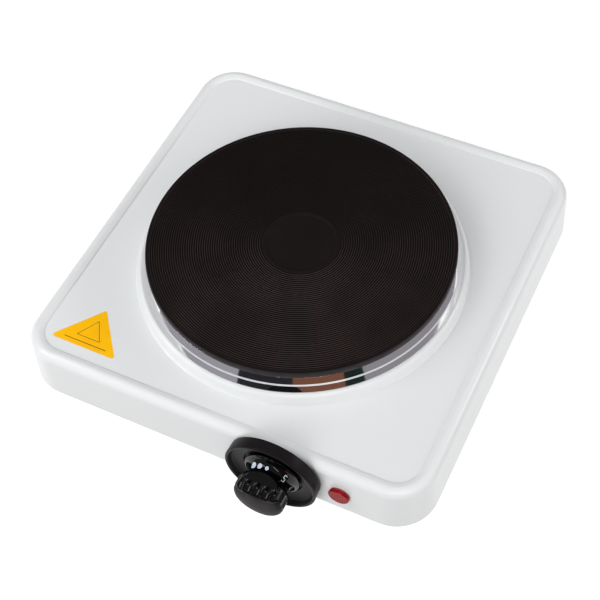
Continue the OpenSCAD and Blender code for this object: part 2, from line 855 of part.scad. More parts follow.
// Routes are in the housing's own frame: X and Y from its centre, Z from the table
live_route = [[-9, 78, 17.1], [-4, 66, 16], [12, 52, 15], [62, 30, 15], [84, -10, 15],
    [84, -60, 15], [66, -82, 17], [48, -84, 24]];
neutral_route = [[-31, 78, 17.1], [-34, 68, 17], [-30, 56, 20], [-20, 48, 24], [-11, pins_y, 26.5]];
switched_route = [[53, -91.5, 35], [55, -84, 32], [58, -50, 25], [42, -10, 23], [26, 26, 24],
    [12, pins_y, 26.5]];
earth_route = [[-75, 92, 16.5], [-74, 84, 17], [-66, 60, 16], [-50, 20, 17], [-42, 6, 26], [-40, 2, 34]];
lamp_live_route = [[79.6, -111, 27.6], [79.6, -104, 27], [78, -96, 24], [70, -90, 22]];
lamp_return_route = [[82.4, -111, 27.6], [83, -102, 26], [92, -80, 20], [96, -30, 17], [80, 30, 17]];

module live_wire() { color("brown") wire(live_route, wire_r); }
module neutral_wire() { color("steelblue") wire(neutral_route, wire_r); }
module switched_wire() { color("black") wire(switched_route, wire_r); }
module earth_wire() { color("yellowgreen") wire(earth_route, wire_r); }

module lamp_wires() {
    color("gray") {
        wire(lamp_live_route, 0.8);
        wire(lamp_return_route, 0.8);
    }
}

// ---------------------------------------------------------------- label

// Plain amber triangle with round corners, flat on the panel
module amber_sticker() {
    label_w = 38.4;
    label_d = 24;
    tip_r = 1.2;
    color("orange") placed() translate([-91.3, -98.2, panel_z]) linear_extrude(0.2) hull()
        for (p = [[-label_w / 2, -label_d / 2], [label_w / 2, -label_d / 2], [0, label_d / 2]])
            translate(p) circle(r = tip_r);
}

// ---------------------------------------------------------------- assembly

top_housing();
base_plate();
hot_plate();
spill_ring();
insulation_fill();
heating_coil();
element_cover();
element_terminals();
element_pins();
centre_stud();
stud_spacer();
clamp_bridge();
stud_washer();
stud_nut();
heat_shield();
thermostat_frame();
thermostat_bushing();
thermostat_block();
contact_carrier();
bimetal_strip();
fixed_contact();
contact_blade();
plunger();
knob_shaft();
knob();
knob_clip();
knob_bezel();
bezel_screws();
indicator_lens();
indicator_body();
neon_bulb();
indicator_clip();
supply_terminals();
terminal_screws();
block_screw();
earth_screw();
cord_gland();
gland_nut();
foot_front_left();
foot_front_right();
foot_rear_left();
foot_rear_right();
foot_screws();
foot_nuts();
base_screws();
live_wire();
neutral_wire();
switched_wire();
earth_wire();
lamp_wires();
amber_sticker();
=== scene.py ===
"""Single hot plate burner: the looks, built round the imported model.

Metres, +Z up, the front faces -Y. Builders take millimetres and convert once, in vec().
"""

import json
import math

import bmesh
import bpy
from mathutils import Matrix, Vector


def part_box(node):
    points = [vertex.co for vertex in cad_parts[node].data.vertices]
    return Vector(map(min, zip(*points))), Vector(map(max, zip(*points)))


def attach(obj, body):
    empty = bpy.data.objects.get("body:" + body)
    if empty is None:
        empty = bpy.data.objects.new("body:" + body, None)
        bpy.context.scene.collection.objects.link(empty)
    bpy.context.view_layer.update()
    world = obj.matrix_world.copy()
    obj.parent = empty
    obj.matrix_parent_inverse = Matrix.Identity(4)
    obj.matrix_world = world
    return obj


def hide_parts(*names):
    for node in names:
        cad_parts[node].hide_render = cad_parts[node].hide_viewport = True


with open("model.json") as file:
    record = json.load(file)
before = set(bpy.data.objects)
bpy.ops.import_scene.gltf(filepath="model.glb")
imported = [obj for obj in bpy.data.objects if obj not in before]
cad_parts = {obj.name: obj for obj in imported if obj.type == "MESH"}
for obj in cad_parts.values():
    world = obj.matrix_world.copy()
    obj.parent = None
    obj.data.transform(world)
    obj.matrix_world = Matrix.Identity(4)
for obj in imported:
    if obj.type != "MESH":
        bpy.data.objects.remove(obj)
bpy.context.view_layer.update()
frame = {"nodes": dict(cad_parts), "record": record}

MM = 0.001


def box_mm(node):
    low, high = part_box(node)
    return [v / MM for v in low], [v / MM for v in high]


# ------------------------------------------------------------------ places, in millimetres

house_low, house_high = box_mm("top_housing")
body_w = house_high[0] - house_low[0]
body_d = house_high[1] - house_low[1]
body_y = (house_high[1] + house_low[1]) / 2
wall_z = house_low[2]
collar_z = house_high[2]

plate_low, plate_high = box_mm("hot_plate")
plate_r = (plate_high[0] - plate_low[0]) / 2
plate_y = (plate_high[1] + plate_low[1]) / 2
plate_z = plate_high[2]

bezel_low, bezel_high = box_mm("knob_bezel")
knob_x = (bezel_high[0] + bezel_low[0]) / 2
knob_z = (bezel_high[2] + bezel_low[2]) / 2
bezel_y = bezel_high[1]

lens_low, lens_high = box_mm("indicator_lens")
lens_x = (lens_high[0] + lens_low[0]) / 2
lens_z = (lens_high[2] + lens_low[2]) / 2
lens_r = (lens_high[0] - lens_low[0]) / 2

gland_low, gland_high = box_mm("cord_gland")
sticker_low, sticker_high = box_mm("amber_sticker")

corner_r = 25
wall_h = 34.6
wall_lean = 1.64
rim_w = 8.8
panel_drop = 1.6
panel_z = wall_z + wall_h - panel_drop
sheet_t = 1.0

RECESS_R = 21.5
GROOVES = 49
GROOVE_FROM = 23.2
GROOVE_TO = 90.0
GROOVE_PITCH = (GROOVE_TO - GROOVE_FROM) / GROOVES
# Where the painted highlight on the outward face of a groove lies, as a share of the pitch, and how narrow
# it is
SHEEN_AT = 0.06
SHEEN_POWER = 8


def vec(x, y, z):
    return Vector((x, y, z)) * MM


def at(x, y, z):
    """Matrix that moves to a place given in millimetres."""
    return Matrix.Translation(vec(x, y, z))


# +Z of a piece built round the knob's axis becomes the forward direction, -Y
TO_FRONT = Matrix.Rotation(math.radians(90), 4, "X")
on_plate = at(0, plate_y, plate_z)
on_knob = at(knob_x, bezel_y, knob_z) @ TO_FRONT


# ------------------------------------------------------------------ outlines

def rounded(corners, steps=6, closed=False):
    """Polyline through corners (x, y) or (x, y, fillet radius), with each radius as an arc."""
    count = len(corners)
    line = []
    for i, corner in enumerate(corners):
        here = Vector(corner[:2])
        radius = corner[2] if len(corner) > 2 else 0
        if radius <= 0 or (not closed and i in (0, count - 1)):
            line.append(here)
            continue
        before = (Vector(corners[i - 1][:2]) - here).normalized()
        after = (Vector(corners[(i + 1) % count][:2]) - here).normalized()
        half = before.angle(after) / 2
        reach = radius / math.tan(half)
        middle = here + (before + after).normalized() * (radius / math.sin(half))
        start, end = here + before * reach - middle, here + after * reach - middle
        sweep = start.angle_signed(end)
        for k in range(steps + 1):
            turned = Matrix.Rotation(-sweep * k / steps, 2) @ start
            line.append(middle + turned)
    return [(p.x, p.y) for p in line]


def wave(x):
    """Smooth pulse: 1 at whole numbers, 0 half way between."""
    return 0.5 + 0.5 * math.cos(2 * math.pi * x)


def soft_min(a, b, k):
    """The smaller of two numbers, blended over a width of about k."""
    h = max(k - abs(a - b), 0) / k
    return min(a, b) - h * h * k / 4


# ------------------------------------------------------------------ mesh builders

def new_object(name, mesh, body, stands_for, slot, materials=(), sharp=35):
    """Names a mesh, shades it smooth up to a crease angle, hangs it on its body's empty and hides the part
    it stands for.

    It gets its slot's finish, unless materials lists others.
    """
    piece = bpy.data.objects.new(name, mesh)
    bpy.context.collection.objects.link(piece)
    mesh.shade_smooth()
    mesh.set_sharp_from_angle(angle=math.radians(sharp))
    for material in materials or [finishes[slot]]:
        mesh.materials.append(material)
    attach(piece, body)
    if stands_for:
        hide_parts(stands_for)
    return piece


def mesh_from(bm, name):
    mesh = bpy.data.meshes.new(name)
    bm.to_mesh(mesh)
    bm.free()
    return mesh


def strip(bm, first, second, closed=True):
    """Quads between two rows of vertices of the same length."""
    count = len(first)
    faces = []
    for i in range(count if closed else count - 1):
        j = (i + 1) % count
        faces.append(bm.faces.new((first[i], first[j], second[j], second[i])))
    return faces


def revolve(bm, line, segments, closed=False, shape=None):
    """Rows of vertices round Z, one for each point of line (radius, height).

    shape(x, y, z) may move each point. Ends on the axis close to a point.
    """
    rows = []
    for r, z in line:
        if r < 1e-6:
            spot = (0, 0, z) if shape is None else shape(0, 0, z)
            rows.append([bm.verts.new(vec(*spot))])
            continue
        row = []
        for i in range(segments):
            a = 2 * math.pi * i / segments
            spot = (r * math.cos(a), r * math.sin(a), z)
            row.append(bm.verts.new(vec(*(shape(*spot) if shape else spot))))
        rows.append(row)
    made = []
    pairs = list(zip(rows, rows[1:])) + ([(rows[-1], rows[0])] if closed else [])
    for low, high in pairs:
        if len(low) == 1 and len(high) == 1:
            made.append([])
        elif len(low) == 1:
            made.append([bm.faces.new((low[0], high[(i + 1) % segments], high[i]))
                         for i in range(segments)])
        elif len(high) == 1:
            made.append([bm.faces.new((low[i], low[(i + 1) % segments], high[0]))
                         for i in range(segments)])
        else:
            made.append(strip(bm, low, high))
    return made


def lathe(name, line, place, segments=128, closed=False, shape=None, zones=()):
    """Mesh turned round +Z of place. zones is (first point, material index) pairs."""
    bm = bmesh.new()
    made = revolve(bm, line, segments, closed, shape)
    for start, index in zones:
        for faces in made[start:]:
            for face in faces:
                face.material_index = index
    bmesh.ops.transform(bm, matrix=place, verts=bm.verts)
    bmesh.ops.recalc_face_normals(bm, faces=bm.faces)
    return mesh_from(bm, name)


def baked(piece):
    """Applies the piece's modifiers to its own mesh."""
    graph = bpy.context.evaluated_depsgraph_get()
    solid = bpy.data.meshes.new_from_object(piece.evaluated_get(graph))
    piece.modifiers.clear()
    old, piece.data = piece.data, solid
    bpy.data.meshes.remove(old)
    return piece


# ------------------------------------------------------------------ materials

class Surface:
    """A Principled material and short calls that add procedural detail to it."""

    def __init__(self, name, colour, roughness, **sockets):
        self.material = bpy.data.materials.new(name)
        self.material.use_nodes = True
        self.tree = self.material.node_tree
        self.shader = self.tree.nodes["Principled BSDF"]
        self.colour = colour
        self.roughness = roughness
        self.set("Base Color", (*colour, 1))
        self.set("Roughness", roughness)
        for socket, value in sockets.items():
            self.set(socket.replace("_", " "), value)
        self.place = self.add("ShaderNodeTexCoord").outputs["Object"]
        self.bumped = None

    def set(self, socket, value):
        self.shader.inputs[socket].default_value = value

    def add(self, kind, links=(), **settings):
        node = self.tree.nodes.new(kind)
        for key, value in settings.items():
            if key in node.inputs:
                node.inputs[key].default_value = value
            else:
                setattr(node, key, value)
        for socket, source in dict(links).items():
            self.tree.links.new(source, node.inputs[socket])
        return node

    def math(self, operation, first, second=None, third=None):
        node = self.add("ShaderNodeMath", operation=operation)
        for socket, value in zip(node.inputs, (first, second, third)):
            if value is None:
                continue
            if isinstance(value, (int, float)):
                socket.default_value = value
            else:
                self.tree.links.new(value, socket)
        return node.outputs[0]

    def noise(self, size_mm, detail=3, place=None, stretch=None):
        """Grey noise whose features are about size_mm across."""
        where = place or self.place
        if stretch:
            where = self.add("ShaderNodeMapping", {"Vector": where}, Scale=stretch).outputs[0]
        return self.add("ShaderNodeTexNoise", {"Vector": where},
                        Scale=1 / (size_mm * MM), Detail=detail).outputs["Fac"]

    def ramp(self, source, low, high, start, end):
        """Maps source from low..high to the colours or numbers start..end."""
        if isinstance(start, (int, float)):
            node = self.add("ShaderNodeMapRange", {"Value": source})
            for socket, value in zip(node.inputs[1:5], (low, high, start, end)):
                socket.default_value = value
            return node.outputs[0]
        node = self.add("ShaderNodeValToRGB", {"Fac": source})
        for element, spot, colour in zip(node.color_ramp.elements, (low, high), (start, end)):
            element.position = spot
            element.color = (*colour, 1)
        return node.outputs["Color"]

    def tint(self, source, share, low=0.3, high=0.7):
        """Colour that varies by a share of the base colour."""
        dark = [c * (1 - share) for c in self.colour]
        light = [min(c * (1 + share), 1) for c in self.colour]
        self.tree.links.new(self.ramp(source, low, high, dark, light),
                            self.shader.inputs["Base Color"])
        return self

    def polish(self, source, share, low=0.3, high=0.7):
        """Roughness that varies by a share of the base roughness."""
        self.tree.links.new(
            self.ramp(source, low, high, self.roughness * (1 - share), self.roughness * (1 + share)),
            self.shader.inputs["Roughness"])
        return self

    def bump(self, source, depth_mm, strength=1.0):
        links = {"Height": source}
        if self.bumped:
            links["Normal"] = self.bumped
        node = self.add("ShaderNodeBump", links, Distance=depth_mm * MM, Strength=strength)
        self.bumped = node.outputs["Normal"]
        self.tree.links.new(self.bumped, self.shader.inputs["Normal"])
        return self

    def plain_detail(self, grain_mm, depth_mm, colour_share=0.06, rough_share=0.2):
        """Fine grain, cloudy colour and uneven polish: the least any surface gets."""
        self.tint(self.noise(grain_mm * 14), colour_share)
        self.polish(self.noise(grain_mm * 25), rough_share)
        return self.bump(self.noise(grain_mm), depth_mm)

    def round_plate(self):
        """Distance from the plate's axis, the angle round it and the height, as sockets."""
        moved = self.add("ShaderNodeVectorMath", {0: self.place}, operation="SUBTRACT")
        moved.inputs[1].default_value = (0, plate_y * MM, 0)
        parts = self.add("ShaderNodeSeparateXYZ", {0: moved.outputs[0]})
        x, y = parts.outputs["X"], parts.outputs["Y"]
        radius = self.math("SQRT", self.math("ADD", self.math("MULTIPLY", x, x),
                                             self.math("MULTIPLY", y, y)))
        return radius, self.math("ARCTAN2", y, x), parts.outputs["Z"]


def white_enamel():
    s = Surface("white_enamel", (0.76, 0.77, 0.775), 0.3, Coat_Weight=0.35, Coat_Roughness=0.06)
    s.tint(s.noise(90, 2), 0.004, 0.0, 1.0)
    s.polish(s.noise(35, 4), 0.10, 0.0, 1.0)
    return s.bump(s.noise(2.2, 1), 0.012).bump(s.noise(26, 1), 0.05).material


def cast_iron():
    """Baked coating with a painted highlight: the outward face of each turned groove is painted lighter
    than the rest, standing in for the light that face catches.
    """
    s = Surface("cast_iron", (0.0085, 0.0062, 0.006), 0.55, Specular_IOR_Level=0.08)
    radius = s.round_plate()[0]
    turns = s.math("MULTIPLY", radius, 2 * math.pi / (GROOVE_PITCH * MM))
    offset = 2 * math.pi * (GROOVE_FROM / GROOVE_PITCH - SHEEN_AT)
    # Painted highlight: a narrow lighter band on the outward face of each groove
    face = s.math("COSINE", s.math("SUBTRACT", turns, offset))
    face = s.math("POWER", s.math("MULTIPLY_ADD", face, 0.5, 0.5), SHEEN_POWER)
    inside = s.math("MULTIPLY", s.math("GREATER_THAN", radius, GROOVE_FROM * MM),
                    s.math("LESS_THAN", radius, GROOVE_TO * MM))
    face_sheen = s.math("MULTIPLY", face, inside)
    plain = s.math("MULTIPLY", s.math("SUBTRACT", 1, inside), 0.12)
    uneven = s.ramp(s.noise(30, 3), 0.35, 0.65, 0.7, 1.15)
    sheen_and_tone = s.math("MULTIPLY", s.math("ADD", face_sheen, plain), uneven)
    # From the dark coating up to the painted highlight's colour; the plain flats take a little of it as
    # their own tone, varied at random
    s.tree.links.new(s.ramp(sheen_and_tone, 0.0, 1.0, (0.0040, 0.0027, 0.0027), (0.048, 0.034, 0.033)),
                     s.shader.inputs["Base Color"])
    s.polish(s.noise(18, 4), 0.08)
    return s.bump(s.noise(0.35, 4), 0.02).material


def cast_edge():
    s = Surface("cast_edge", (0.021, 0.0155, 0.0165), 0.5, Specular_IOR_Level=0.25)
    return s.plain_detail(0.35, 0.02, 0.15, 0.12).material


def stainless():
    s = Surface("stainless", (0.80, 0.80, 0.81), 0.07, Metallic=1.0)
    radius, angle, height = s.round_plate()
    around = s.add("ShaderNodeCombineXYZ",
                   {"X": s.math("MULTIPLY", angle, 0.02), "Y": radius, "Z": height})
    brushed = s.noise(0.25, 3, around.outputs[0], (0.6, 1, 1))
    s.polish(s.noise(12, 3), 0.35)
    s.tint(s.noise(30, 2), 0.03)
    return s.bump(brushed, 0.0015).material


def satin_black():
    s = Surface("satin_black", (0.0080, 0.0058, 0.0068), 0.42, Specular_IOR_Level=0.14)
    s.tint(s.noise(9, 3), 0.12)
    s.polish(s.noise(14, 3), 0.15)
    return s.bump(s.noise(0.22, 2), 0.008).material


def gloss_black():
    s = Surface("gloss_black", (0.0016, 0.0016, 0.0018), 0.09, Specular_IOR_Level=0.32)
    s.tint(s.noise(9, 3), 0.2)
    s.polish(s.noise(6, 3), 0.3)
    return s.bump(s.noise(3, 1), 0.006).material


def cap_black():
    s = Surface("cap_black", (0.0085, 0.0055, 0.0068), 0.5, Specular_IOR_Level=0.12)
    s.tint(s.noise(8, 3), 0.15)
    s.polish(s.noise(9, 3), 0.15)
    return s.bump(s.noise(0.18, 2), 0.007).material


def red_lens():
    s = Surface("red_lens", (0.31, 0.0006, 0.003), 0.14, Transmission_Weight=0.03,
                Specular_IOR_Level=0.12, IOR=1.49)
    s.tint(s.noise(2.5, 3), 0.35)
    s.polish(s.noise(3, 2), 0.2)
    return s.bump(s.noise(1.1, 1), 0.02).material


def rubber():
    s = Surface("black_rubber", (0.016, 0.016, 0.016), 0.75, Specular_IOR_Level=0.3)
    return s.plain_detail(0.5, 0.02, 0.2, 0.12).material


def amber_print():
    s = Surface("amber_print", (1.0, 0.50, 0.0), 0.45, Specular_IOR_Level=0.12)
    s.tint(s.noise(12, 2), 0.04)
    s.polish(s.noise(5, 3), 0.2)
    return s.bump(s.noise(0.6, 2), 0.004).material


def ink(name, colour):
    s = Surface(name, colour, 0.5)
    return s.plain_detail(0.3, 0.002, 0.08, 0.1).material


def galvanised():
    s = Surface("galvanised", (0.52, 0.53, 0.54), 0.34, Metallic=0.9)
    cells = s.add("ShaderNodeTexVoronoi", {"Vector": s.place}, Scale=1 / (6 * MM)).outputs["Color"]
    grey = s.add("ShaderNodeSeparateColor", {0: cells}).outputs[0]
    s.tint(grey, 0.14, 0, 1)
    s.polish(grey, 0.3, 0, 1)
    return s.bump(s.noise(0.8, 3), 0.01).material


def metal(name, colour, roughness, grain_mm=0.5):
    s = Surface(name, colour, roughness, Metallic=1.0)
    return s.plain_detail(grain_mm, 0.008, 0.08, 0.3).material


def moulded(name, colour, roughness, grain_mm=0.6):
    s = Surface(name, colour, roughness)
    return s.plain_detail(grain_mm, 0.01, 0.08, 0.2).material


def clear_glass():
    s = Surface("clear_glass", (0.9, 0.85, 0.8), 0.05, Transmission_Weight=0.9, IOR=1.5)
    return s.plain_detail(1.5, 0.01, 0.03, 0.2).material


finishes = {
    "white_enamel": white_enamel(),
    "galvanised": galvanised(),
    "cast_iron": cast_iron(),
    "stainless": stainless(),
    "steatite": moulded("steatite", (0.72, 0.67, 0.58), 0.75),
    "resistance_wire": metal("resistance_wire", (0.30, 0.26, 0.23), 0.5),
    "aluminised": metal("aluminised", (0.62, 0.62, 0.62), 0.38, 0.8),
    "zinc_steel": metal("zinc_steel", (0.60, 0.60, 0.57), 0.3),
    "brass": metal("brass", (0.72, 0.50, 0.22), 0.28),
    "bimetal": metal("bimetal", (0.36, 0.36, 0.40), 0.35),
    "black_satin": satin_black(),
    "black_gloss": gloss_black(),
    "red_lens": red_lens(),
    "clear_glass": clear_glass(),
    "black_rubber": rubber(),
    "wire_brown": moulded("wire_brown", (0.10, 0.035, 0.012), 0.45),
    "wire_blue": moulded("wire_blue", (0.01, 0.06, 0.30), 0.45),
    "wire_black": moulded("wire_black", (0.012, 0.012, 0.012), 0.45),
    "wire_green": moulded("wire_green", (0.16, 0.38, 0.02), 0.45),
    "amber_print": amber_print(),
}
cap_finish = cap_black()
edge_finish = cast_edge()
white_ink = ink("white_ink", (0.62, 0.72, 0.82))
brown_ink = ink("brown_ink", (0.16, 0.045, 0.004))

for entry in frame["record"]["subparts"]:
    mesh = frame["nodes"][entry["node"]].data
    mesh.materials.clear()
    mesh.materials.append(finishes[entry["material_slot"]])


# ------------------------------------------------------------------ housing

CORNER_STEPS = 24
SIDE_STEPS = 14


def outline_stations():
    """Corner centres, slid along the straights, with the outward direction at each."""
    half_w, half_d = body_w / 2 - corner_r, body_d / 2 - corner_r
    centres = [(half_w, half_d), (-half_w, half_d), (-half_w, -half_d), (half_w, -half_d)]
    stations = []
    for k, (x, y) in enumerate(centres):
        next_x, next_y = centres[(k + 1) % 4]
        for i in range(CORNER_STEPS + 1):
            a = math.radians(90 * k + 90 * i / CORNER_STEPS)
            stations.append((x, y, math.cos(a), math.sin(a)))
        a = math.radians(90 * (k + 1))
        for i in range(1, SIDE_STEPS):
            t = i / SIDE_STEPS
            stations.append((x + (next_x - x) * t, y + (next_y - y) * t, math.cos(a), math.sin(a)))
    return stations


def housing():
    """Pressed shell: lip, wall, rolled rim, sunk panel and collar as one skin, then thickened.

    The outline's corners are (outward of the wall's foot, height, fillet radius).
    """
    bm = bmesh.new()
    wall = rounded([
        (-9, 0), (-2.5, 0), (0, 0, 1.1), (-0.19, 4), (-1.35, 28.5), (-wall_lean, wall_h, 5.0),
        (-rim_w + 1.6, wall_h - 0.3, 3.0), (-rim_w - 0.7, wall_h - 0.95, 1.2),
        (-rim_w - 1.5, wall_h - panel_drop, 0.4),
        (-rim_w - 2.6, wall_h - panel_drop), (-rim_w - 3.4, wall_h - panel_drop)], 8)
    rows = []
    stations = outline_stations()
    for offset, height in wall:
        r = corner_r + offset
        rows.append([bm.verts.new(vec(x + r * nx, body_y + y + r * ny, wall_z + height))
                     for x, y, nx, ny in stations])
    for low, high in zip(rows, rows[1:]):
        strip(bm, low, high)

    collar_h = collar_z - panel_z
    collar = rounded([
        (102.4, 0), (101.8, 0), (100.0, 0, 1.2), (98.9, collar_h, 2.6),
        (95.0, collar_h, 0.4), (94.6, collar_h - 0.9)], 10)
    made = revolve(bm, collar, 192)
    for face in {f for faces in made for f in faces}:
        for vert in face.verts:
            vert.tag = True
    collar_verts = [v for v in bm.verts if v.tag]
    bmesh.ops.transform(bm, matrix=at(0, plate_y, panel_z), verts=collar_verts)
    # The panel fills the space between the rim's last row and the collar's foot
    outer = list(rows[-1])
    inner = [v for v in collar_verts if v.is_boundary and (v.co.z - panel_z * MM) < 1e-5]
    edges = set()
    for loop in (outer, inner):
        keep = set(loop)
        edges |= {e for v in loop for e in v.link_edges
                  if e.is_boundary and e.verts[0] in keep and e.verts[1] in keep}
    bmesh.ops.triangle_fill(bm, use_beauty=True, use_dissolve=False, edges=list(edges),
                            normal=(0, 0, 1))
    bmesh.ops.recalc_face_normals(bm, faces=bm.faces)
    upper = [f for f in bm.faces if f.calc_center_median().z > (wall_z + wall_h / 2) * MM]
    if sum(f.normal.z * f.calc_area() for f in upper) < 0:
        bmesh.ops.reverse_faces(bm, faces=bm.faces)
    piece = new_object("housing_shell", mesh_from(bm, "housing_shell"), "stove_body",
                       "top_housing", "white_enamel", sharp=50)
    thick = piece.modifiers.new("sheet", "SOLIDIFY")
    thick.thickness = sheet_t * MM
    thick.offset = -1
    thick.use_even_offset = True
    return baked(piece)


# ------------------------------------------------------------------ plate and ring

def plate_line():
    """Turned section of the casting: recess, saw-tooth grooves, plain edge, skirt and hub."""
    tooth = [(0.0, -0.30), (0.1, -0.29), (0.7, -0.04), (0.8, 0.0)]
    line = [(0, -0.7)] + rounded([(4, -0.7), (RECESS_R - 1.1, -0.7, 0.8), (RECESS_R, 0, 0.5),
                                  (GROOVE_FROM - 0.3, 0)], 4)
    for k in range(GROOVES):
        line += [(GROOVE_FROM + (k + t) * GROOVE_PITCH, z) for t, z in tooth]
    side_from = len(line) + 2
    line += rounded([(GROOVE_TO, 0), (plate_r, 0, 0.9), (plate_r, -4, 0.3), (88, -4), (88, -16.5, 0.5),
                     (84, -16.5, 0.5), (84, -7, 1), (23, -7, 1), (23, -16.5), (18, -16.5), (18, -12),
                     (9, -12), (9, -18.5), (3, -18.5), (3, -5.5), (0, -5.5)], 5)
    return line, side_from


def hot_plate():
    line, side_from = plate_line()
    mesh = lathe("hot_plate_casting", line, on_plate, 224, zones=[(side_from, 1)])
    return new_object("hot_plate_casting", mesh, "stove_body", "hot_plate", "cast_iron",
                      [finishes["cast_iron"], edge_finish], 60)


def spill_ring():
    """Two polished cones with a small upright step between them, tucked under the plate's edge."""
    line = rounded([
        (88.2, -4.05), (plate_r - 0.1, -4.05, 0.1), (94.6, -7.6, 0.4), (94.75, -9.2, 0.5),
        (96.6, -12.6, 0.3), (96.6, -13.2, 0.15), (95.5, -13.2), (93.6, -9.4, 0.5),
        (92.1, -4.75), (88.2, -4.75)], 8, closed=True)
    mesh = lathe("spill_ring_steel", line, on_plate, 224, closed=True)
    return new_object("spill_ring_steel", mesh, "stove_body", "spill_ring", "stainless", sharp=40)


# ------------------------------------------------------------------ knob and bezel

# _AT, _FROM and _END are distances forward of the wall, and _R are radii round the knob's axis
SKIRT_AT, SKIRT_EDGE, SKIRT_R = 3.7, 1.0, 17.0
WAIST_AT, WAIST_R, BELL_RUN = 9.9, 12.8, 7.4
GRIP_AT, GRIP_R = 15.2, 15.2
SHOULDER_AT, SHOULDER_R = 19.8, 4.2
KNOB_END = 25.4
RAMP_FROM, RAMP_RISE, RAMP_SLOPE = 11.6, 13.4, math.tan(math.radians(22))
FLUTE_FROM, FLUTE_END, FLUTE_DEPTH = 11.6, 21.6, 1.1
SCOOP_FROM, SCOOP_END, SCOOP_DEPTH = 16.2, 24.2, 1.5
RAMP_PITCH, SIDE_FLUTES = 5.4, 18


def bell(t):
    """(radius, forward) on the flare: skirt's edge at t = 0, waist at t = 1, then straight on."""
    if t > 1:
        return WAIST_R, WAIST_AT + (t - 1) * BELL_RUN
    a = math.radians(90 * t)
    return (WAIST_R + (SKIRT_R - WAIST_R) * (1 - math.sin(a)),
            WAIST_AT - (WAIST_AT - SKIRT_AT - SKIRT_EDGE) * math.cos(a))


def knob_line():
    """Turned section of the knob: skirt, flare, waist, straight grip, shoulder and domed cap."""
    line = [(0, SKIRT_AT)] + rounded([(3.2, SKIRT_AT), (SKIRT_R, SKIRT_AT, 0.3),
                                      (SKIRT_R, SKIRT_AT + SKIRT_EDGE, 0.25), bell(0.08)], 3)
    line += [bell(0.08 + 0.92 * i / 24) for i in range(1, 25)]
    for i in range(1, 25):
        t = i / 24
        line.append((WAIST_R + (GRIP_R - WAIST_R) * (1 - math.cos(math.pi * t)) / 2,
                     WAIST_AT + (GRIP_AT - WAIST_AT) * t))
    line += [(GRIP_R, GRIP_AT + (SHOULDER_AT - GRIP_AT) * i / 16) for i in range(1, 16)]
    shoulder = [math.radians(64 * i / 20) for i in range(21)]
    line += [(GRIP_R - SHOULDER_R * (1 - math.cos(a)), SHOULDER_AT + SHOULDER_R * math.sin(a))
             for a in shoulder]
    edge_r, edge_at = line[-1]
    for i in range(1, 26):
        t = 1 - i / 25
        line.append((edge_r * t, edge_at + (KNOB_END - edge_at) * (1 - t * t)))
    return line


def ramp_height(z):
    """Height of the flat thumb ramp over the knob's axis."""
    return RAMP_RISE - (z - RAMP_FROM) * RAMP_SLOPE


def flute_depth(z, start, end, depth):
    """A flute deepens from start and closes in a round scallop at end."""
    if z > end:
        return 0
    run = min(max((z - start) / (0.5 * (end - start)), 0), 1)
    close = min((end - z) / 1.6, 1)
    return depth * run * run * (3 - 2 * run) * math.sqrt(1 - (1 - close) ** 2)


def fluted(x, y, z):
    """Cuts the thumb ramp and the flutes: straight ones on the ramp, round the axis elsewhere."""
    radius = math.hypot(x, y)
    if z < FLUTE_FROM - 1 or radius < 6:
        return x, y, z
    ramp_y = ramp_height(z)
    over = y - ramp_y
    side = min(max(-over / 1.2, 0), 1)
    turn = math.atan2(x, y) * SIDE_FLUTES / (2 * math.pi)
    groove = flute_depth(z, FLUTE_FROM, FLUTE_END, FLUTE_DEPTH)
    shrink = 1 - groove * side * abs(math.cos(math.pi * turn)) ** 0.9 / radius
    if over > -0.7:
        scoop = flute_depth(z, SCOOP_FROM, SCOOP_END, SCOOP_DEPTH)
        scoop *= abs(math.cos(math.pi * x / RAMP_PITCH)) ** 0.9
        y = soft_min(y, ramp_y, 0.7) - scoop * min(max((over + 0.7) / 1.2, 0), 1)
    return x * shrink, y * shrink, z


def knob():
    mesh = lathe("knob_moulding", knob_line(), on_knob, 300, shape=fluted)
    to_knob = on_knob.inverted()
    for face in mesh.polygons:
        spot = (to_knob @ face.center) / MM
        on_ramp = spot.y > ramp_height(spot.z) - 1.6
        face.material_index = int(spot.z > (SCOOP_END if on_ramp else FLUTE_END))
    return new_object("knob_moulding", mesh, "knob_body", "knob", "black_gloss",
                      [finishes["black_gloss"], cap_finish], 60)


def on_bell(angle, across, up, lift=0.03):
    """Place on the flare: angle clockwise from the top, across and up in the mark's own plane."""
    t = 0.83 - up / BELL_RUN
    r, forward = bell(t)
    a = math.radians(90 - angle) - across / r
    next_r, next_forward = bell(t + 0.01)
    slope = Vector((next_r - r, next_forward - forward)).normalized()
    r, forward = r + slope.y * lift, forward - slope.x * lift
    return r * math.cos(a), r * math.sin(a), forward


def mark_mesh(name, flat, angle):
    """Wraps a flat mesh in millimetres round the knob's flare."""
    bm = bmesh.new()
    bm.from_mesh(flat)
    bmesh.ops.triangulate(bm, faces=bm.faces)
    bmesh.ops.subdivide_edges(bm, edges=bm.edges, cuts=3, use_grid_fill=True)
    for vert in bm.verts:
        vert.co = vec(*on_bell(angle, vert.co.x, vert.co.y))
    bmesh.ops.transform(bm, matrix=on_knob, verts=bm.verts)
    return mesh_from(bm, name)


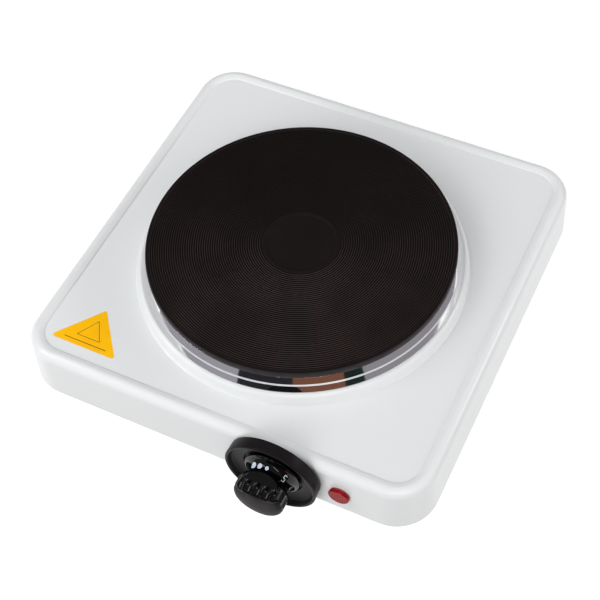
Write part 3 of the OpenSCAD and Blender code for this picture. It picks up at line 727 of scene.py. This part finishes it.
def dial_marks():
    """Three dots that grow to the left of the top, and settings 5 to 1 round the flare."""
    for k, (angle, size) in enumerate([(0, 2.1), (-20, 3.0), (-40, 3.6)]):
        bm = bmesh.new()
        bmesh.ops.create_circle(bm, cap_ends=True, segments=24, radius=size / 2)
        flat = mesh_from(bm, "dot")
        new_object(f"knob_dot_{k + 1}", mark_mesh("dot", flat, angle), "knob_body", None,
                   "black_gloss", [white_ink])
    for k, digit in enumerate("54321"):
        curve = bpy.data.curves.new("digit", "FONT")
        curve.body = digit
        curve.size = 6.2
        curve.align_x, curve.align_y = "CENTER", "CENTER"
        writer = bpy.data.objects.new("digit", curve)
        flat = bpy.data.meshes.new_from_object(writer)
        bpy.data.objects.remove(writer)
        new_object(f"knob_digit_{digit}", mark_mesh("digit", flat, 50 + 45 * k), "knob_body", None,
                   "black_gloss", [white_ink])


def bezel():
    """Dish round the knob, with a raised lip and a hole for the spindle."""
    line = rounded([
        (27.6, 0, 0.3), (28.0, 7.4, 0.8), (26.3, 7.4, 0.7), (25.2, 3.9, 1.4), (18.2, 3.1, 0.3),
        (18.0, 1.6, 0.2), (6.2, 1.6), (6.2, 0), (21, 0), (23, 1.2), (26.0, 1.2), (26.0, 0)], 6, closed=True)
    mesh = lathe("bezel_moulding", line, on_knob, 160, closed=True)
    return new_object("bezel_moulding", mesh, "stove_body", "knob_bezel", "black_satin", sharp=50)


# ------------------------------------------------------------------ lamp

def lens():
    """Round lens whose face is moulded into parallel ribs inside a plain border."""
    proud = lens_high[1] - lens_low[1]
    place = at(lens_x, lens_high[1], lens_z) @ TO_FRONT
    border, ribs_deep, pitch = 0.9, 0.35, 1.55

    def ribbed(x, y, z):
        inside = min(max((lens_r - border - math.hypot(x, y)) / 0.4, 0), 1)
        if z > proud - 0.8:
            z -= ribs_deep * inside * wave(x / pitch)
        return x, y, z

    line = [(0, 0)] + rounded([(3, 0), (lens_r, 0, 0.1), (lens_r, proud, 0.8), (lens_r - 1.6, proud)], 6)
    line += [((lens_r - 1.6) * (1 - i / 20), proud) for i in range(1, 21)]
    mesh = lathe("lamp_lens", line, place, 120, shape=ribbed)
    return new_object("lamp_lens", mesh, "stove_body", "indicator_lens", "red_lens", sharp=60)


# ------------------------------------------------------------------ sticker

def triangle(half_base, height, foot, radius):
    """Isosceles triangle with its base towards the front, as a rounded outline."""
    return rounded([(-half_base, foot, radius), (half_base, foot, radius), (0, foot + height, radius)],
                   6, closed=True)


def slab(name, outlines, base, thickness):
    """Thin plates between base and base + thickness; each outline is a closed list of points."""
    bm = bmesh.new()
    for outline in outlines:
        low = [bm.verts.new(vec(x, y, base)) for x, y in outline]
        high = [bm.verts.new(vec(x, y, base + thickness)) for x, y in outline]
        strip(bm, low, high)
        bm.faces.new(high)
        bm.faces.new(list(reversed(low)))
    bmesh.ops.recalc_face_normals(bm, faces=bm.faces)
    return mesh_from(bm, name)


def bar(x0, y0, x1, y1, width):
    """Outline of a straight stroke with square ends."""
    along = Vector((x1 - x0, y1 - y0)).normalized() * (width / 2)
    side = Vector((-along.y, along.x))
    return [(x0 - side.x, y0 - side.y), (x1 - side.x, y1 - side.y),
            (x1 + side.x, y1 + side.y), (x0 + side.x, y0 + side.y)]


def sticker():
    """Amber triangle with a plain printed outline and a rule: no sign and no lettering."""
    centre_x = (sticker_low[0] + sticker_high[0]) / 2
    front_y = sticker_low[1]
    height = sticker_high[1] - sticker_low[1]
    half = (sticker_high[0] - sticker_low[0]) / 2
    thick = sticker_high[2] - sticker_low[2]

    def moved(outline):
        return [(x + centre_x, y + front_y) for x, y in outline]

    # A triangle with rounded corners falls short of its sharp one by these amounts
    short_w, short_h, corner, ink_t = 1.6, 1.9, 1.3, 0.02
    ink_z = sticker_low[2] + thick - ink_t
    blank = slab("sticker_film", [moved(triangle(half + short_w, height + short_h, 0, corner))],
                 sticker_low[2], thick - ink_t)
    film = new_object("sticker_film", blank, "stove_body", "amber_sticker", "amber_print")

    foot, tip, reach, line_w = 6.8, 19.6, 7.6, 0.38
    rule_y, rule_reach, rule_w = 3.1, 14, 0.5
    corners = [(-reach, foot), (reach, foot), (0, tip)]
    strokes = [bar(*corners[i], *corners[(i + 1) % 3], line_w) for i in range(3)]
    strokes.append(bar(-rule_reach, rule_y, rule_reach, rule_y, rule_w))
    print_mesh = slab("sticker_print", [moved(s) for s in strokes], ink_z, ink_t)
    marks = new_object("sticker_print", print_mesh, "stove_body", None, "amber_print", [brown_ink])
    for piece in (film, marks):
        piece.visible_glossy = piece.visible_diffuse = piece.visible_shadow = False


# ------------------------------------------------------------------ gland and feet

def gland():
    """Moulded bush in the rear wall: flange, tapered neck and a clear bore."""
    centre = ((gland_low[0] + gland_high[0]) / 2, gland_low[1], (gland_low[2] + gland_high[2]) / 2)
    place = at(*centre) @ Matrix.Rotation(math.radians(-90), 4, "X")
    length = gland_high[1] - gland_low[1]
    flange_at = length - 9
    line = rounded([
        (3.5, 0), (6.5, 0, 0.6), (6.5, flange_at), (10, flange_at, 0.2), (10, flange_at + 2.6, 0.9),
        (7.6, flange_at + 3.2, 0.8), (5.8, flange_at + 5.6, 0.6), (4.7, length - 1, 0.6),
        (3.5, length - 1, 0.4)], 6, closed=True)
    mesh = lathe("gland_moulding", line, place, 96, closed=True)
    return new_object("gland_moulding", mesh, "stove_body", "cord_gland", "black_satin", sharp=45)


def foot(node):
    """Rubber foot: a tapered pad with a recess for its screw."""
    low, high = box_mm(node)
    place = at((low[0] + high[0]) / 2, (low[1] + high[1]) / 2, 0)
    top = high[2]
    line = rounded([
        (2.1, 4.4), (5.0, 4.4, 0.3), (5.0, 0, 0.5), (9.2, 0, 0.9), (10, 3, 1.0), (9.0, top - 1.4, 0.5),
        (9.6, top, 0.4), (2.1, top)], 5, closed=True)
    mesh = lathe(f"{node}_pad", line, place, 72, closed=True)
    return new_object(f"{node}_pad", mesh, "stove_body", node, "black_rubber", sharp=45)


housing()
hot_plate()
spill_ring()
knob()
dial_marks()
bezel()
lens()
sticker()
gland()
for side in ("front_left", "front_right", "rear_left", "rear_right"):
    foot(f"foot_{side}")


# ------------------------------------------------------------------ stage, light and camera

def stage_floor():
    bpy.ops.mesh.primitive_plane_add(size=12, location=(0, 0, 0))
    floor = bpy.context.object
    floor.name = "stage_floor"
    s = Surface("pale_floor", (0.5, 0.5, 0.5), 0.6, Specular_IOR_Level=0.2)
    s.set("Emission Color", (1, 1, 1, 1))
    s.set("Emission Strength", 0.78)
    floor.data.materials.append(s.plain_detail(3, 0.002, 0.004, 0.1).material)

    # Grey card on the floor: takes down the light that the white floor throws up at the walls
    bpy.ops.mesh.primitive_plane_add(size=4, location=(0, 0, 0.0004))
    card = bpy.context.object
    card.name = "stage_grey_card"
    s = Surface("grey_card", (0.20, 0.20, 0.20), 0.9, Specular_IOR_Level=0.0)
    card.data.materials.append(s.plain_detail(3, 0.002, 0.02, 0.05).material)
    card.visible_camera = card.visible_glossy = card.visible_shadow = False


def stage_flag(name, start, end, colour, radius=0.31, height=0.16):
    """Upright card on an arc in front of the object, seen only in its reflections."""
    bm = bmesh.new()
    turns = [math.radians(start + (end - start) * i / 12) for i in range(13)]
    low = [bm.verts.new((radius * math.sin(a), -radius * math.cos(a), 0)) for a in turns]
    high = [bm.verts.new((v.co.x, v.co.y, height)) for v in low]
    strip(bm, low, high, closed=False)
    card = bpy.data.objects.new(name, mesh_from(bm, name))
    bpy.context.collection.objects.link(card)
    s = Surface(name, (0, 0, 0), 1.0, Specular_IOR_Level=0.0)
    s.set("Emission Color", (*colour, 1))
    s.set("Emission Strength", 1.0)
    card.data.materials.append(s.material)
    card.visible_camera = card.visible_diffuse = card.visible_shadow = False


def soft_light(name, azimuth, elevation, distance, size, radiance, colour=(1, 1, 1), glossy=True):
    """Softbox that faces the object. Azimuth is measured from the front towards the right."""
    a, e = math.radians(azimuth), math.radians(elevation)
    back = Vector((math.sin(a) * math.cos(e), -math.cos(a) * math.cos(e), math.sin(e)))
    light = bpy.data.lights.new(name, "AREA")
    light.shape = "RECTANGLE"
    light.size, light.size_y = size
    light.energy = radiance * math.pi * size[0] * size[1]
    light.color = colour
    lamp = bpy.data.objects.new(name, light)
    bpy.context.collection.objects.link(lamp)
    lamp.location = back * distance
    lamp.rotation_euler = back.to_track_quat("Z", "Y").to_euler()
    lamp.visible_glossy = glossy


# Name, azimuth and elevation in degrees, distance and size in metres, radiance, and any colour
SOFTBOXES = [
    ("softbox_left", -66, 64, 1.5, (1.3, 1.0), 1.5, (0.96, 0.985, 1.0)),
    ("softbox_front", -10, 27, 5.0, (3.6, 2.6), 4.4),
    ("softbox_right", 100, 16, 1.5, (1.2, 0.7), 3.4)]
STRIPS = [
    ("strip_left", -62, 44, 1.5, (0.16, 0.9), 8.0),
    ("strip_camera", 29, 46, 2.4, (1.35, 0.2), 6.5),
    ("strip_right", 124, 27, 1.5, (0.26, 0.3), 8.0)]
# Name, the arc's start and end in degrees, and colour
FLAGS = [
    ("stage_flag_left", -62, -8, (0.36, 0.345, 0.38)),
    ("stage_flag_dark", -8, 20, (0.022, 0.022, 0.028)),
    ("stage_flag_brown", 20, 46, (0.20, 0.085, 0.052)),
    ("stage_flag_green", 46, 56, (0.012, 0.022, 0.021)),
    ("stage_flag_right", 56, 150, (0.29, 0.275, 0.30))]


def studio():
    """Dim white surroundings, softboxes, strips and the cards that show in reflections."""
    world = bpy.data.worlds.new("studio")
    bpy.context.scene.world = world
    world.use_nodes = True
    background = world.node_tree.nodes["Background"]
    background.inputs["Color"].default_value = (1, 1, 1, 1)
    background.inputs["Strength"].default_value = 0.30
    for light in SOFTBOXES:
        soft_light(*light, glossy=False)
    for light in STRIPS:
        soft_light(*light)
    for flag in FLAGS:
        stage_flag(*flag)



def camera():
    """Looks down from the front right. The angles are in degrees and the distance in metres."""
    azimuth, elevation, roll = (math.radians(a) for a in (29.46, 54.2, -4.59))
    target = vec(5.63, plate_y - 16.7, 32)
    distance = 0.79
    back = Vector((math.sin(azimuth) * math.cos(elevation), -math.cos(azimuth) * math.cos(elevation),
                   math.sin(elevation)))
    right = Vector((math.cos(azimuth), math.sin(azimuth), 0))
    up = back.cross(right)
    side = right * math.cos(roll) + up * math.sin(roll)
    top = up * math.cos(roll) - right * math.sin(roll)
    lens_data = bpy.data.cameras.new("camera")
    lens_data.sensor_width = 36
    lens_data.lens = 78.5
    lens_data.clip_start, lens_data.clip_end = 0.05, 30
    eye = bpy.data.objects.new("camera", lens_data)
    bpy.context.collection.objects.link(eye)
    turn = Matrix((side, top, back)).transposed().to_4x4()
    eye.matrix_world = Matrix.Translation(target + back * distance) @ turn
    bpy.context.scene.camera = eye


stage_floor()
studio()
camera()
bpy.context.scene.view_settings.view_transform = "Standard"
